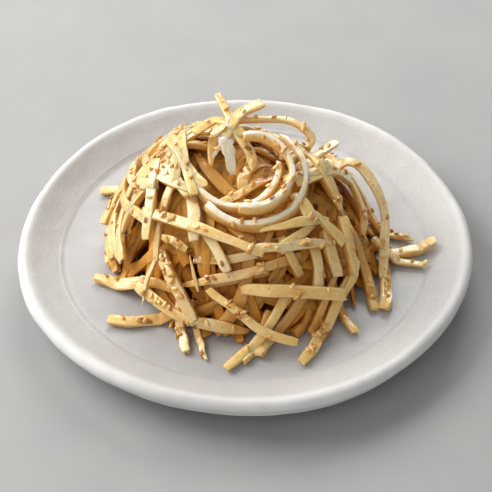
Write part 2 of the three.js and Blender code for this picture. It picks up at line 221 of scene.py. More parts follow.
# Shreds that stand off the heap: width, thickness, then the places they pass through.
RAISED_SHREDS = [
    (3.0, 2.2, (-4, 8, 56), (-5.4, 12, 59.4), (-6.3, 17, 60.2), (-8.8, 23, 61.6), (-10.6, 27, 62.7)),
    (4.6, 1.6, (-8, 7, 56), (-5.4, 12, 59.8), (-2, 18, 60.7), (6.2, 24, 60.9)),
    (3.0, 2.2, (-12, 9, 57), (-7.2, 12, 58.8), (-2.8, 17, 57.9), (10.4, 22, 54.6), (17.3, 22, 53.6),
     (22.2, 20, 51.8), (25.1, 17, 49.6), (24.1, 14.5, 47.6)),
    (4.0, 1.8, (-19, 12, 56), (-11.4, 17, 57.7), (-5.4, 12, 59.2), (-1, 8, 57.2)),
    (3.8, 2.0, (-5.2, 13, 59.4), (-0.9, 7, 56.2), (2, 3, 53.2), (2, 0, 50.9), (-0.9, -3, 46.7),
     (-0.9, -7, 43.6)),
    (3.8, 1.6, (18, 2, 45.5), (25, 9.5, 46), (30, 15, 45.6), (34.5, 20, 45.4)),
    (3.4, 1.8, (33, 12, 36), (38, 13, 41), (44, 11.5, 39.5), (50, 5, 33.5), (53, -1, 25.5), (52.5, -10, 18.5),
     (51.8, -21, 13)),
]
# Thin milky flakes of skin: width, thickness, then the places they pass through.
PALE_FLAKES = [
    (5.4, 0.7, (-9.5, 9.5, 57), (-7.5, 7, 57.5), (-6, 2, 55), (-4.4, -4.5, 50)),
    (2.6, 0.6, (-12, 1.5, 53), (-9.5, 4.5, 55.5), (-7, 8, 57.5)),
    (2.4, 0.7, (-17, -14, 44), (-16.5, -18, 43), (-15.6, -22.5, 41)),
]
# Plan places where seeds gather at the front.
SEED_PLACES = [
    (-32, 8), (-33, 3), (-43, 16), (-51, 8), (-40, 2), (-29, -2), (-27, -18), (-27, -23), (-28, -27),
    (-24, -32), (-24, -38), (-31, -36), (-42, -36), (-38, -39), (-20, -49), (-27, -49), (-3, -48),
    (-3, -52), (18.5, -45.5), (19, -50), (27, -50), (30, -49), (21, -59), (-1.5, -22), (-13, -38),
    (3, -35), (8, -35), (21, -33), (-3, -46), (24, 21), (15, 2), (10.5, 0), (4, -3),
    (38, -11), (44, 0), (55, 3), (64, 1), (26, -24), (46, -29), (52, -29), (57, -21), (60, -20),
]

# Camera: how far it looks down, its distance from the lip's level, and where it aims.
LOOK_DOWN = 43.0
CAMERA_DISTANCE = 522.0
CAMERA_X = 0.2
CAMERA_Y = -7.4
CAMERA_LENS = 100.0
CAMERA_SENSOR = 36
FLOOR_SIZE = 6
AIR_STRENGTH = 0.32


class Dice:
    """One seeded run of even random numbers."""

    def __init__(self, state):
        self.state = state

    def roll(self):
        self.state = (self.state * 1664525 + 1013904223) & 0xFFFFFFFF
        return self.state / 4294967296

    def between(self, low, high):
        return low + (high - low) * self.roll()


def smooth_run(dice, count, stations):
    """Soft random waves between -1 and 1, sampled at the stations, with about count bumps."""
    knots = [dice.between(-1, 1) for _ in range(count + 3)]
    at = np.linspace(0, count + 1, stations)
    low = at.astype(int)
    blend = at - low
    blend = blend * blend * (3 - 2 * blend)
    values = np.array(knots)
    return values[low] * (1 - blend) + values[low + 1] * blend


def mound_height(x, y):
    """The heap's outer form above the floor of the dish."""
    share = np.minimum(np.hypot(x - HEAP_X, y - HEAP_Y) / HEAP_RADIUS, 1)
    height = HEAP_HEIGHT * np.maximum(np.cos(math.pi / 2 * share**1.5), 0) ** 1.3
    for lump_x, lump_y, radius, rise in SHOULDERS:
        reach = np.minimum(np.hypot(x - lump_x, y - lump_y) / radius, 1)
        height = height + rise * np.cos(math.pi / 2 * reach) ** 2
    return height


def mound_normal(x, y):
    step = 2
    slope_x = (mound_height(x + step, y) - mound_height(x - step, y)) / (2 * step)
    slope_y = (mound_height(x, y + step) - mound_height(x, y - step)) / (2 * step)
    normal = np.stack([-slope_x, -slope_y, np.ones_like(slope_x)], axis=-1)
    return normal / np.linalg.norm(normal, axis=-1, keepdims=True)


def over_core(x, y, height):
    """Points at heights over the face that the seen shreds lie on, square to the heap."""
    face = np.stack([x, y, FLOOR_HEIGHT + mound_height(x, y)], axis=-1)
    return face + mound_normal(x, y) * np.asarray(height - LAYER_DEPTH)[..., None]


def dish_top(radius):
    """Height of the dish's upper face at a distance from its middle."""
    lip_inner = LIP_RADIUS - LIP_ROUND * 1.6
    rise = np.clip((radius - FLOOR_RADIUS + 1.8) / (lip_inner - FLOOR_RADIUS), 0, 1)
    band = FLOOR_HEIGHT + FLOOR_STEP + rise * (LIP_HEIGHT - 0.5 - FLOOR_HEIGHT - FLOOR_STEP) + 0.3
    return np.where(radius < FLOOR_RADIUS - 1, FLOOR_HEIGHT + 0.1, band)


def clear_of_dish(points):
    lowest = dish_top(np.hypot(points[..., 0], points[..., 1])) + HEAP_GAP * 0.5
    points[..., 2] = np.maximum(points[..., 2], lowest)
    return points


def lift_clear(line, thickness):
    """Raises a centre line where its shred would touch the dish."""
    lowest = dish_top(np.hypot(line[:, 0], line[:, 1])) + HEAP_GAP + thickness / 2
    line[:, 2] = np.maximum(line[:, 2], lowest)
    return line


class Field:
    """For each spot of the heap in plan, how high the shreds laid so far reach."""

    def __init__(self, start, loose, crowded):
        self.heights = np.full((2 * FIELD_HALF, 2 * FIELD_HALF), start, np.float32)
        self.loose = loose
        self.crowd = crowded

    def cells(self, x, y):
        column = np.clip(np.floor(x + FIELD_HALF + 0.5).astype(int), 0, 2 * FIELD_HALF - 1)
        row = np.clip(np.floor(y + FIELD_HALF + 0.5).astype(int), 0, 2 * FIELD_HALF - 1)
        return row, column

    def crowded(self, heights):
        """Where many shreds cross they crowd together, so their heights level off."""
        over = np.maximum(heights - self.loose, 0)
        packed = self.loose + self.crowd * (1 - np.exp(-over / self.crowd))
        return np.where(heights < self.loose, heights, packed)


def lay_shred(field, row, sag=SHRED_SAG):
    """Lays one shred on what is there, and returns its centre line over the core.

    It rests on the highest spots under it and sags a little between them. A positive bow bends it to the
    left of its way from start to end; lifts raise its ends off the heap.
    """
    from_x, from_y, to_x, to_y, bow, width = row[:6]
    lifts = row[6:8] if len(row) > 6 else (0, 0)
    along = np.array([to_x - from_x, to_y - from_y], float)
    length = np.hypot(*along)
    left = np.array([-along[1], along[0]]) / length
    thickness = width * SHRED_THICKNESS_SHARE
    share = np.linspace(0, 1, LAY_STEPS + 1)
    bulge = 4 * bow * share * (1 - share)
    x = from_x + along[0] * share + left[0] * bulge
    y = from_y + along[1] * share + left[1] * bulge
    offsets = np.array([-0.4, 0, 0.4]) * width
    spots = field.cells(x[:, None] + left[0] * offsets, y[:, None] + left[1] * offsets)
    under = field.heights[spots].max(axis=1)
    gaps = (share[:, None] - share[None, :]) * length
    rest = (under[None, :] - sag * gaps**2).max(axis=1)
    height = field.crowded(rest - SHRED_SINK) + lifts[0] * (1 - share) ** 2 + lifts[1] * share**2
    top = np.repeat((height + thickness)[:, None], 3, axis=1).astype(np.float32)
    np.maximum.at(field.heights, spots, top)
    return {"x": x, "y": y, "height": height, "width": width, "thickness": thickness, "length": length}


def lie_over(laid, station):
    """The fine centre line of a laid shred: points and the heap's normals beside it."""
    count = max(6, int(laid["length"] / station) + 1)
    share = np.linspace(0, 1, count)
    coarse = np.linspace(0, 1, LAY_STEPS + 1)
    soft = np.convolve(np.pad(laid["height"], 2, mode="edge"), np.ones(5) / 5, mode="valid")
    x = np.interp(share, coarse, laid["x"])
    y = np.interp(share, coarse, laid["y"])
    height = np.interp(share, coarse, soft) + laid["thickness"] / 2
    return lift_clear(over_core(x, y, height), laid["thickness"]), mound_normal(x, y)


class Shreds:
    """Collects shreds into one mesh, with a tint for each and a UV map that runs along it."""

    def __init__(self, dice, sides):
        self.dice = dice
        self.sides = sides
        self.points = []
        self.faces = []
        self.uvs = []
        self.tints = []
        self.rises = []
        self.lines = []
        self.count = 0

    def add(self, line, ups, width, thickness, twist=0.0, tint=None, lit_top_tint=None, blunt=True, whole=False):
        dice = self.dice
        stations = len(line)
        tangent = np.gradient(line, axis=0)
        tangent /= np.linalg.norm(tangent, axis=1, keepdims=True)
        across = np.cross(ups, tangent)
        across /= np.linalg.norm(across, axis=1, keepdims=True)
        upright = np.cross(tangent, across)
        steps = np.linalg.norm(np.diff(line, axis=0), axis=1)
        arc = np.concatenate([[0], np.cumsum(steps)])
        length = arc[-1]
        waves = max(1, int(length / BEND_LENGTH))
        sway = smooth_run(dice, waves, stations) * (0.25 if whole else 0.8)
        line = line + across * sway[:, None]
        roll = twist * np.linspace(-0.5, 0.5, stations) + smooth_run(dice, waves, stations) * 0.16
        turn_cos = np.cos(roll)[:, None]
        turn_sin = np.sin(roll)[:, None]
        side = across * turn_cos + upright * turn_sin
        rise = upright * turn_cos - across * turn_sin
        from_end = np.minimum(arc, length - arc)
        end_round = 0.80 if blunt else 0.35
        taper = BLUNT_TAPER if blunt else POINTED_TAPER
        narrowing = end_round + (1 - end_round) * np.clip(from_end / taper, 0, 1) ** 0.6
        if dice.roll() < 0.4 and not whole:
            towards = arc if dice.roll() < 0.5 else length - arc
            narrowing = narrowing * (0.45 + 0.55 * np.clip(towards / dice.between(8, 18), 0, 1) ** 0.7)
        tears = max(2, int(length / TEAR_LENGTH))
        torn = 0.3 * smooth_run(dice, tears, stations) if tint == 0.0 else 0.0
        half_width = width / 2 * narrowing * (1 + 0.14 * smooth_run(dice, waves, stations) + torn)
        half_thick = thickness / 2 * narrowing * (1 + 0.18 * smooth_run(dice, waves, stations))
        square = dice.between(0.26, 0.44)
        lean = dice.between(-0.16, 0.16)
        angles = (np.arange(self.sides) + 0.5) * 2 * math.pi / self.sides
        section_x = np.sign(np.cos(angles)) * np.abs(np.cos(angles)) ** square
        section_y = np.sign(np.sin(angles)) * np.abs(np.sin(angles)) ** square
        section_y = section_y * (1 + lean * section_x)
        nicks = max(2, int(length / NICK_LENGTH))
        ridges = np.stack([
            1 + 0.06 * smooth_run(dice, waves + 1, stations) + 0.05 * smooth_run(dice, nicks, stations)
            for _ in angles
        ], axis=1)
        offset_side = (half_width[:, None] * section_x[None, :] * ridges)[..., None] * side[:, None, :]
        offset_rise = (half_thick[:, None] * section_y[None, :] * ridges)[..., None] * rise[:, None, :]
        ring_points = line[:, None, :] + offset_side + offset_rise
        for end, sign in ((0, -1), (-1, 1)):
            ragged = np.array([dice.between(-0.5, 0.7) for _ in angles])
            ring_points[end] += tangent[end] * (sign * ragged)[:, None]
        caps = np.stack([line[0] - tangent[0] * 0.2, line[-1] + tangent[-1] * 0.2])
        points = clear_of_dish(np.concatenate([ring_points.reshape(-1, 3), caps]))
        self.link(stations, points, arc, width)
        shades = np.full((stations, self.sides), 0.15 + 0.85 * dice.roll() if tint is None else tint)
        # Painted highlight: a hoop's upper edge takes the milky tint of a lit top.
        if lit_top_tint is not None:
            shades[:, section_y > 0.7] = lit_top_tint
        self.tints.append(np.append(shades.ravel(), [shades[0, 0], shades[-1, 0]]))
        heights = 0.4 + 0.6 * np.sin(angles) if whole else np.sin(angles)
        self.rises.append(np.append(np.tile(heights, stations), [0.5, 0.5]))
        self.lines.append({
            "line": line, "side": side, "rise": rise, "tangent": tangent,
            "half_width": half_width, "half_thick": half_thick,
        })

    def link(self, stations, points, arc, width):
        """Faces between the rings, the two caps, and where each corner lies on the UV map."""
        first = self.count
        sides = self.sides
        girth = np.arange(sides + 1) / sides * width * GIRTH_SHARE * GRAIN_SCALE
        along = arc * GRAIN_SCALE
        for i in range(stations - 1):
            for j in range(sides):
                k = (j + 1) % sides
                low = first + i * sides
                high = low + sides
                self.faces.append((low + j, low + k, high + k, high + j))
                self.uvs += [
                    (girth[j], along[i]), (girth[j + 1], along[i]),
                    (girth[j + 1], along[i + 1]), (girth[j], along[i + 1]),
                ]
        start_cap = first + stations * sides
        end_cap = start_cap + 1
        last = first + (stations - 1) * sides
        for j in range(sides):
            k = (j + 1) % sides
            self.faces.append((start_cap, first + k, first + j))
            self.faces.append((end_cap, last + j, last + k))
            self.uvs += [(girth[j], 0), (girth[j + 1], 0), (girth[j], -0.1)]
            self.uvs += [(girth[j], along[-1]), (girth[j + 1], along[-1]), (girth[j], along[-1] + 0.1)]
        self.points.append(points)
        self.count += len(points)

    def piece(self, name, material, pile):
        points = np.concatenate(self.points)
        # How deep each point lies drives the painted shade that darkens the fish deeper in the pile.
        buried = bury(points, pile)
        piece = mesh_piece(name, points, self.faces, material)
        mesh = piece.data
        layer = mesh.uv_layers.new(name="grain")
        layer.data.foreach_set("uv", np.array(self.uvs, np.float32).ravel())
        faces_up = np.concatenate(self.rises)
        for label, values in (("tint", np.concatenate(self.tints)), ("depth", buried), ("upper", faces_up)):
            attribute = mesh.attributes.new(label, "FLOAT", "POINT")
            attribute.data.foreach_set("value", values.astype(np.float32))
        return piece


def bury(points, pile):
    """How deep each point lies in the pile, from 0 at its face to 1 well below."""
    x, y = points[:, 0], points[:, 1]
    over_mound = (points[:, 2] - FLOOR_HEIGHT - mound_height(x, y)) * mound_normal(x, y)[:, 2]
    soft = pile.heights.astype(float)
    for _ in range(3):
        total = soft
        for shift, axis in ((1, 0), (-1, 0), (1, 1), (-1, 1)):
            total = total + np.roll(soft, shift, axis)
        soft = total / 5
    rows, columns = pile.cells(x, y)
    top = np.maximum(soft[rows, columns] - LAYER_DEPTH, 1.0)
    return np.clip((top - over_mound - 1.6) / 8, 0, 1)


def mesh_piece(name, points, faces, material, smooth_angle=50):
    """A mesh object made from points in millimetres, shaded smooth apart from its sharp edges."""
    mesh = bpy.data.meshes.new(name)
    mesh.from_pydata((np.asarray(points) * MM).tolist(), [], faces)
    mesh.validate()
    piece = bpy.data.objects.new(name, mesh)
    bpy.context.scene.collection.objects.link(piece)
    mesh.materials.append(material)
    only(piece)
    bpy.ops.object.mode_set(mode="EDIT")
    bpy.ops.mesh.select_all(action="SELECT")
    bpy.ops.mesh.normals_make_consistent(inside=False)
    bpy.ops.object.mode_set(mode="OBJECT")
    bpy.ops.object.shade_smooth_by_angle(angle=math.radians(smooth_angle))
    return piece


def only(piece):
    """Makes one object the only selected and active one."""
    if bpy.context.object and bpy.context.object.mode != "OBJECT":
        bpy.ops.object.mode_set(mode="OBJECT")
    bpy.ops.object.select_all(action="DESELECT")
    piece.select_set(True)
    bpy.context.view_layer.objects.active = piece


def close_up(piece):
    """Merges a mesh's doubled points and turns its faces outwards."""
    only(piece)
    bpy.ops.object.mode_set(mode="EDIT")
    bpy.ops.mesh.select_all(action="SELECT")
    bpy.ops.mesh.remove_doubles(threshold=MERGE_DISTANCE)
    bpy.ops.mesh.normals_make_consistent(inside=False)
    bpy.ops.object.mode_set(mode="OBJECT")


# Materials
class Nodes:
    """A material's node tree, with short calls to add and join nodes."""

    def __init__(self, name):
        self.material = bpy.data.materials.new(name)
        self.material.use_nodes = True
        self.tree = self.material.node_tree
        self.shader = self.tree.nodes["Principled BSDF"]

    def add(self, kind, **settings):
        node = self.tree.nodes.new(kind)
        for key, value in settings.items():
            setattr(node, key, value)
        return node

    def join(self, source, target):
        self.tree.links.new(source, target)

    def noise(self, vector, scale, detail=3.0, roughness=0.55):
        node = self.add("ShaderNodeTexNoise")
        node.inputs["Scale"].default_value = scale
        node.inputs["Detail"].default_value = detail
        node.inputs["Roughness"].default_value = roughness
        self.join(vector, node.inputs["Vector"])
        return node.outputs["Fac"]

    def stretch(self, vector, scale):
        node = self.add("ShaderNodeMapping")
        node.inputs["Scale"].default_value = scale
        self.join(vector, node.inputs["Vector"])
        return node.outputs["Vector"]

    def ramp(self, factor, stops):
        node = self.add("ShaderNodeValToRGB")
        elements = node.color_ramp.elements
        while len(elements) > 1:
            elements.remove(elements[-1])
        elements[0].position = stops[0][0]
        elements[0].color = (*stops[0][1], 1)
        for position, colour in stops[1:]:
            elements.new(position).color = (*colour, 1)
        self.join(factor, node.inputs["Fac"])
        return node.outputs["Color"]

    def mix(self, factor, first, second, blend="MIX"):
        node = self.add("ShaderNodeMix", data_type="RGBA", blend_type=blend)
        if isinstance(factor, float):
            node.inputs["Factor"].default_value = factor
        else:
            self.join(factor, node.inputs["Factor"])
        for value, label in ((first, "A"), (second, "B")):
            colour = next(s for s in node.inputs if s.name == label and s.type == "RGBA")
            if isinstance(value, tuple):
                colour.default_value = (*value, 1)
            else:
                self.join(value, colour)
        return next(s for s in node.outputs if s.type == "RGBA")

    def calculate(self, operation, first, second=0.0, clamp=False):
        node = self.add("ShaderNodeMath", operation=operation, use_clamp=clamp)
        for index, value in enumerate((first, second)):
            if isinstance(value, (int, float)):
                node.inputs[index].default_value = value
            else:
                self.join(value, node.inputs[index])
        return node.outputs[0]

    def span(self, value, low, high, to_low=0.0, to_high=1.0):
        node = self.add("ShaderNodeMapRange")
        self.join(value, node.inputs["Value"])
        for key, number in (("From Min", low), ("From Max", high), ("To Min", to_low), ("To Max", to_high)):
            node.inputs[key].default_value = number
        return node.outputs["Result"]

    def bump(self, height, strength, distance):
        node = self.add("ShaderNodeBump")
        node.inputs["Strength"].default_value = strength
        node.inputs["Distance"].default_value = distance
        self.join(height, node.inputs["Height"])
        self.join(node.outputs["Normal"], self.shader.inputs["Normal"])

    def set(self, **sockets):
        for key, value in sockets.items():
            self.shader.inputs[key.replace("_", " ")].default_value = value

    def attribute(self, name):
        node = self.add("ShaderNodeAttribute", attribute_type="GEOMETRY", attribute_name=name)
        return node.outputs["Fac"]

    def place(self):
        return self.add("ShaderNodeTexCoord").outputs["Object"]


MILKY = (0.95, 0.88, 0.72)
PALE_STRAW = (0.94, 0.78, 0.46)
STRAW = (0.93, 0.71, 0.32)
GOLDEN = (0.90, 0.59, 0.17)
HONEY = (0.88, 0.49, 0.09)
KHAKI = (0.80, 0.57, 0.22)
AMBER = (0.76, 0.42, 0.09)


def candied_fish(name, gloss, shine, edge_glint):
    """Strips of dried fish in a clear glaze, pale and fibrous, with painted light: painted shade and glow
    turn them amber at the sides and underneath, painted shade and a syrupy glaze darken them deeper in the
    pile, and painted glints run along their upper corners.
    """
    nodes = Nodes(name)
    grain = nodes.add("ShaderNodeUVMap", uv_map="grain").outputs["UV"]
    fibres = nodes.noise(nodes.stretch(grain, (9, 0.45, 1)), 2.2, 4, 0.65)
    mottle = nodes.noise(nodes.stretch(grain, (2, 0.8, 1)), 3.0, 3)
    stains = nodes.noise(nodes.place(), 120, 3)
    tint = nodes.attribute("tint")
    depth = nodes.attribute("depth")
    base = nodes.ramp(tint, [(0.0, MILKY), (0.12, PALE_STRAW), (0.4, STRAW), (0.8, GOLDEN), (1.0, KHAKI)])
    bleached = nodes.mix(nodes.span(fibres, 0.47, 0.33, 0, 0.3), base, MILKY)
    streaked = nodes.mix(nodes.span(fibres, 0.5, 0.66, 0, 0.6), bleached, GOLDEN)
    mottled = nodes.mix(nodes.span(mottle, 0.5, 0.72, 0, 0.5), streaked, HONEY)
    stained = nodes.mix(nodes.span(stains, 0.58, 0.72, 0, 0.5), mottled, AMBER)
    upper = nodes.attribute("upper")
    # Painted highlight: the upper corners of each shred are painted milky in patches, as glints of light
    # along its edges.
    edge = nodes.calculate("MULTIPLY", nodes.span(upper, 0.94, 0.74), nodes.span(upper, 0.5, 0.68))
    patchy = nodes.span(mottle, 0.35, 0.6, 0.1, edge_glint)
    glinting_edges = nodes.mix(nodes.calculate("MULTIPLY", edge, patchy), stained, MILKY)
    shaded = nodes.mix(nodes.span(upper, 0.62, 0.15, 0.0, 0.85), glinting_edges, AMBER)
    # Painted shade with a syrupy glaze: the colour darkens deeper in the pile, for the shade between the
    # shreds and the glaze gathered there.
    syrup_and_depth_shade = nodes.ramp(depth, [
        (0.0, (1, 1, 1)), (0.25, (0.80, 0.59, 0.32)), (0.6, (0.54, 0.28, 0.08)), (1.0, (0.24, 0.075, 0.012)),
    ])
    deep = nodes.mix(1.0, shaded, syrup_and_depth_shade, "MULTIPLY")
    nodes.join(deep, nodes.shader.inputs["Base Color"])
    nodes.join(nodes.span(mottle, 0.3, 0.7, 0.2, 0.42), nodes.shader.inputs["Roughness"])
    nodes.set(
        Subsurface_Weight=0.5,
        Subsurface_Scale=0.002,
        Subsurface_Radius=(1.0, 0.86, 0.4),
        Specular_IOR_Level=shine,
        Coat_Weight=gloss,
        Coat_Roughness=0.14,
    )
    dents = nodes.noise(nodes.place(), 330, 2)
    low_fibres = nodes.calculate("MULTIPLY", fibres, 0.6)
    deep_dents = nodes.calculate("MULTIPLY", dents, 1.2)
    relief = nodes.calculate("ADD", low_fibres, deep_dents)
    nodes.bump(relief, 0.8, 0.0006)
    return nodes.material


def syrup_and_shade_depths():
    """Dark brown between packed shreds: a syrupy glaze, and painted shade of the deep gaps."""
    nodes = Nodes("syrup_and_shade_depths")
    blotches = nodes.noise(nodes.place(), 160, 4)
    dark_syrup_and_shade = nodes.ramp(blotches, [(0.3, (0.16, 0.025, 0.001)), (0.7, (0.36, 0.08, 0.004))])
    nodes.join(dark_syrup_and_shade, nodes.shader.inputs["Base Color"])
    nodes.set(Roughness=0.6, Specular_IOR_Level=0.2)
    nodes.bump(blotches, 0.6, 0.001)
    return nodes.material


def toasted_sesame():
    """Glossy seeds, from golden to dark toasted ones."""
    nodes = Nodes("toasted_sesame")
    tint = nodes.attribute("tint")
    mottle = nodes.noise(nodes.place(), 700, 2)
    base = nodes.ramp(tint, [
        (0.0, (0.90, 0.60, 0.22)), (0.5, (0.80, 0.44, 0.09)), (0.85, (0.60, 0.25, 0.03)),
        (1.0, (0.30, 0.10, 0.015)),
    ])
    nodes.join(nodes.mix(nodes.span(mottle, 0.5, 0.7, 0, 0.4), base, (0.66, 0.30, 0.05)),
               nodes.shader.inputs["Base Color"])
    nodes.set(Roughness=0.3, Coat_Weight=0.8, Coat_Roughness=0.08,
              Subsurface_Weight=0.15, Subsurface_Scale=0.0006, Subsurface_Radius=(1.0, 0.5, 0.2))
    nodes.bump(mottle, 0.2, 0.0002)
    return nodes.material


def ground_pepper():
    """Dark and reddish crumbs."""
    nodes = Nodes("pepper_crumbs")
    tint = nodes.attribute("tint")
    crumbs = nodes.ramp(tint, [
        (0.0, (0.05, 0.02, 0.01)), (0.4, (0.22, 0.07, 0.012)), (1.0, (0.55, 0.22, 0.04)),
    ])
    nodes.join(crumbs, nodes.shader.inputs["Base Color"])
    nodes.set(Roughness=0.45, Coat_Weight=0.2)
    return nodes.material


def glazed_stoneware():
    """A dull grey-white floor, a sandy band, a lip painted paler as a painted sheen, and a few iron specks.
    """
    nodes = Nodes("glazed_stoneware")
    place = nodes.place()
    axes = nodes.add("ShaderNodeSeparateXYZ")
    nodes.join(place, axes.inputs["Vector"])
    square_x = nodes.calculate("MULTIPLY", axes.outputs["X"], axes.outputs["X"])
    square_y = nodes.calculate("MULTIPLY", axes.outputs["Y"], axes.outputs["Y"])
    radius = nodes.calculate("SQRT", nodes.calculate("ADD", square_x, square_y))
    on_band = nodes.span(radius, (FLOOR_RADIUS - 2) * MM, (FLOOR_RADIUS + 2) * MM)
    lip_sheen_mask = nodes.span(radius, (LIP_RADIUS - 6) * MM, (LIP_RADIUS - 1) * MM)
    clouds = nodes.noise(place, 45, 4)
    sand = nodes.noise(place, 900, 3, 0.7)
    floor = nodes.ramp(clouds, [(0.3, (0.40, 0.398, 0.396)), (0.7, (0.46, 0.458, 0.456))])
    band = nodes.ramp(sand, [(0.3, (0.48, 0.472, 0.46)), (0.7, (0.55, 0.545, 0.532))])
    # Painted sheen: the lip is painted paler than the band, for the light that its rounded glaze catches.
    lip = nodes.ramp(clouds, [(0.3, (0.67, 0.668, 0.66)), (0.7, (0.79, 0.788, 0.78))])
    glaze = nodes.mix(lip_sheen_mask, nodes.mix(on_band, floor, band), lip)
    cells = nodes.add("ShaderNodeTexVoronoi")
    cells.inputs["Scale"].default_value = 130
    nodes.join(place, cells.inputs["Vector"])
    chosen = nodes.add("ShaderNodeSeparateXYZ")
    nodes.join(cells.outputs["Color"], chosen.inputs["Vector"])
    few = nodes.calculate("GREATER_THAN", chosen.outputs["X"], 0.955)
    size = nodes.span(chosen.outputs["Y"], 0, 1, 0.035, 0.085)
    spot = nodes.calculate("MULTIPLY", few, nodes.calculate("LESS_THAN", cells.outputs["Distance"], size))
    specks = nodes.mix(spot, glaze, (0.13, 0.10, 0.08))
    nodes.join(specks, nodes.shader.inputs["Base Color"])
    nodes.join(nodes.span(on_band, 0, 1, 0.38, 0.62), nodes.shader.inputs["Roughness"])
    nodes.set(Specular_IOR_Level=0.45, Coat_Weight=0.12, Coat_Roughness=0.35)
    nodes.bump(nodes.calculate("ADD", nodes.calculate("MULTIPLY", sand, 0.4), clouds), 0.35, 0.0009)
    return nodes.material


def pale_floor():
    nodes = Nodes("pale_floor")
    clouds = nodes.noise(nodes.place(), 30, 4)
    paint = nodes.ramp(clouds, [(0.3, (0.36, 0.36, 0.36)), (0.7, (0.39, 0.39, 0.385))])
    nodes.join(paint, nodes.shader.inputs["Base Color"])
    nodes.set(Roughness=0.8)
    return nodes.material


# Dish
def dish_section():
    """Radius and height of each ring, from the underside round the lip to the floor."""
    lip_x = LIP_RADIUS - LIP_ROUND
    lip_z = LIP_HEIGHT - LIP_ROUND

    def lip(degrees):
        angle = math.radians(degrees)
        return lip_x + LIP_ROUND * math.cos(angle), lip_z + LIP_ROUND * math.sin(angle)

    inner_x, inner_z = lip(125)
    band_x, band_z = FLOOR_RADIUS + 1.2, FLOOR_HEIGHT + FLOOR_STEP
    crease_x = WALL_FOOT_RADIUS + (LIP_RADIUS - WALL_FOOT_RADIUS) * 0.6 - WALL_CREASE_DEPTH
    return [
        (FOOT_INNER_RADIUS, FOOT_RECESS),
        (FOOT_INNER_RADIUS + 0.7, 0.3),
        (FOOT_INNER_RADIUS + 1.3, 0),
        (FOOT_OUTER_RADIUS - 0.4, 0),
        (FOOT_OUTER_RADIUS + 0.4, 0.4),
        (FOOT_OUTER_RADIUS + 1.5, 2),
        (FOOT_OUTER_RADIUS + (WALL_FOOT_RADIUS - FOOT_OUTER_RADIUS) * 0.65, 3.8),
        (WALL_FOOT_RADIUS - 1.6, WALL_FOOT_HEIGHT - 1.5),
        (WALL_FOOT_RADIUS, WALL_FOOT_HEIGHT),
        (crease_x + 0.5, WALL_FOOT_HEIGHT + 2.1),
        (crease_x, WALL_FOOT_HEIGHT + 2.6),
        (crease_x + 0.7, WALL_FOOT_HEIGHT + 3.2),
        lip(-20), lip(10), lip(40), lip(70), lip(98), (inner_x, inner_z),
        ((inner_x * 2 + band_x) / 3, (inner_z * 2 + band_z) / 3 - 0.35),
        ((inner_x + band_x * 2) / 3, (inner_z + band_z * 2) / 3 - 0.4),
        (band_x + 0.8, band_z + 0.1),
        (band_x, band_z - 0.15),
        (FLOOR_RADIUS + 0.2, FLOOR_HEIGHT + 0.25),
        (FLOOR_RADIUS - 1.0, FLOOR_HEIGHT + 0.05),
        (FLOOR_RADIUS - 5, FLOOR_HEIGHT),
        (48, FLOOR_HEIGHT),
        (24, FLOOR_HEIGHT),
    ]


def lip_wave(angle):
    return sum(depth * np.cos(count * (angle - math.radians(crest))) for count, depth, crest in LIP_WAVES)


def make_dish(material):
    """The dish, drawn out ring by ring from its foot, then waved and pressed as by hand."""
    rings = dish_section()
    first_radius, first_height = rings[0]
    bpy.ops.mesh.primitive_circle_add(
        vertices=DISH_SIDES, radius=first_radius * MM, fill_type="NGON", location=(0, 0, first_height * MM)
    )
    dish = bpy.context.object
    dish.name = "stoneware_dish"
    only(dish)
    bpy.ops.object.transform_apply(location=True, rotation=True, scale=True)
    bpy.ops.object.mode_set(mode="EDIT")
    bpy.ops.mesh.select_mode(type="EDGE")
    bpy.ops.mesh.select_all(action="SELECT")
    for (radius, height), (next_radius, next_height) in zip(rings, rings[1:]):
        bpy.ops.mesh.extrude_edges_move(TRANSFORM_OT_translate={"value": (0, 0, (next_height - height) * MM)})
        grow = next_radius / radius
        bpy.ops.transform.resize(value=(grow, grow, 1), center_override=(0, 0, next_height * MM))
    bpy.ops.mesh.edge_face_add()
    close_up(dish)
    rounding = dish.modifiers.new("rounding", "SUBSURF")
    rounding.levels = 2
    rounding.render_levels = 2
    bpy.ops.object.modifier_apply(modifier=rounding.name)
    hand_form(dish)
    lumps = bpy.data.textures.new("clay_lumps", "CLOUDS")
    lumps.noise_scale = CLAY_LUMP_SIZE * MM
    pressed = dish.modifiers.new("pressed", "DISPLACE")
    pressed.texture = lumps
    pressed.strength = CLAY_LUMP_DEPTH * MM
    pressed.mid_level = 0.5
    pressed.texture_coords = "LOCAL"
    bpy.ops.object.modifier_apply(modifier=pressed.name)
    keep_foot_flat(dish)
    bpy.ops.object.shade_smooth()
    dish.data.materials.append(material)
    return dish


def coordinates(piece):
    places = np.zeros(len(piece.data.vertices) * 3)
    piece.data.vertices.foreach_get("co", places)
    return places.reshape(-1, 3)


def put_coordinates(piece, places):
    piece.data.vertices.foreach_set("co", places.ravel())
    piece.data.update()


def hand_form(dish):
    """Pushes the lip in and out, and a little up and down, as the potter's hands left it."""
    places = coordinates(dish)
    radius = np.hypot(places[:, 0], places[:, 1])
    angle = np.arctan2(places[:, 1], places[:, 0])
    share = (radius / (LIP_RADIUS * MM)) ** 4
    grown = radius + lip_wave(angle) * share * MM
    places[:, 0] = grown * np.cos(angle)
    places[:, 1] = grown * np.sin(angle)
    above = places[:, 2] > (FLOOR_HEIGHT + FLOOR_STEP) * MM
    places[:, 2] += above * LIP_WAVE_HEIGHT * MM * np.sin(LIP_WAVE_COUNT * angle + LIP_WAVE_TURN) * share
    middle = (places.max(axis=0) + places.min(axis=0)) / 2
    places[:, :2] -= middle[:2]
    put_coordinates(dish, places)


